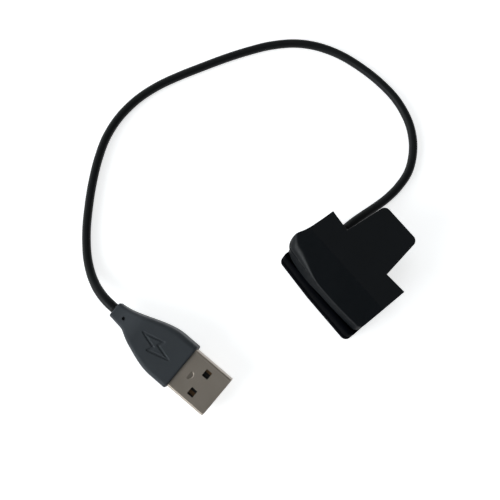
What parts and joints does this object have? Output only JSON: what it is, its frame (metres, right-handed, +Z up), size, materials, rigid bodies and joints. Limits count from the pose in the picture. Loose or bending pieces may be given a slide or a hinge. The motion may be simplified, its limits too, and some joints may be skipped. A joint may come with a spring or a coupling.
{
  "type": "charging cable",
  "caption": "Charging cable for a slim fitness tracker: sprung T-shaped clip with contact pins, short flexible cable and flat USB-A plug.",
  "frame": {"origin": "on the clip's centre line at the middle of its length, on its underside, which stands on the surface", "axes": "+Z up, +Y along the clip from its jaw to its finger tabs, +X along the hinge pin; the cable lies on the surface to the -X side"},
  "size_m": [0.0894, 0.1018, 0.0145],
  "materials": {
    "case_plastic": "satin black moulded plastic with a fine spark texture",
    "grip_overmould": "matte blue-black soft overmould",
    "inner_plastic": "plain black moulded plastic",
    "natural_plastic": "natural inner moulding",
    "pad_rubber": "soft matte silicone",
    "cable_jacket": "satin black jacket",
    "nickel_plate": "nickel-plated sheet, slightly warm",
    "spring_steel": "bright drawn steel wire",
    "gold_plate": "gold-plated contact",
    "board_laminate": "green solder mask",
    "red_insulation": "wire insulation",
    "black_insulation": "wire insulation",
    "green_insulation": "wire insulation"
  },
  "bodies": {
    "base": {"base_lower_shell": "case_plastic", "base_seat_cover": "case_plastic", "pin_block": "inner_plastic", "clip_circuit_board": "board_laminate", "pogo_barrel_1": "gold_plate", "pogo_barrel_2": "gold_plate", "pogo_barrel_3": "gold_plate", "pogo_spring_1": "spring_steel", "pogo_spring_2": "spring_steel", "pogo_spring_3": "spring_steel", "clip_wire_1": "red_insulation", "clip_wire_2": "black_insulation", "clip_wire_3": "green_insulation", "cable_gland": "cable_jacket", "hinge_pin": "spring_steel", "torsion_spring": "spring_steel", "cable_jacket": "cable_jacket", "plug_overmould": "grip_overmould", "plug_shell": "nickel_plate", "plug_insulator": "inner_plastic", "plug_contact_1": "gold_plate", "plug_contact_2": "gold_plate", "plug_contact_3": "gold_plate", "plug_contact_4": "gold_plate", "plug_inner_mould": "natural_plastic", "plug_wire_1": "red_insulation", "plug_wire_2": "black_insulation", "plug_wire_3": "green_insulation"},
    "upper_lever": {"upper_jaw_shell": "case_plastic", "jaw_liner": "inner_plastic", "jaw_pad": "pad_rubber"},
    "plunger_1": {"pogo_plunger_1": "gold_plate"},
    "plunger_2": {"pogo_plunger_2": "gold_plate"},
    "plunger_3": {"pogo_plunger_3": "gold_plate"}
  },
  "joints": [
    {"name": "jaw_hinge", "type": "hinge", "parent": "base", "child": "upper_lever", "pos_m": [0, 0.0005, 0.0078], "axis": [-1, 0, 0], "range_deg": [0, 22], "stiffness_Nm_per_rad": 0.12, "springref_deg": -28.65, "deforming": ["torsion_spring"]},
    {"name": "pin_travel_1", "type": "slide", "parent": "base", "child": "plunger_1", "axis": [0, 0, -1], "range_m": [0, 0.0009], "stiffness_N_per_m": 600, "springref_m": -0.0006, "deforming": ["pogo_spring_1"]},
    {"name": "pin_travel_2", "type": "slide", "parent": "base", "child": "plunger_2", "axis": [0, 0, -1], "range_m": [0, 0.0009], "stiffness_N_per_m": 600, "springref_m": -0.0006, "deforming": ["pogo_spring_2"]},
    {"name": "pin_travel_3", "type": "slide", "parent": "base", "child": "plunger_3", "axis": [0, 0, -1], "range_m": [0, 0.0009], "stiffness_N_per_m": 600, "springref_m": -0.0006, "deforming": ["pogo_spring_3"]}
  ]
}
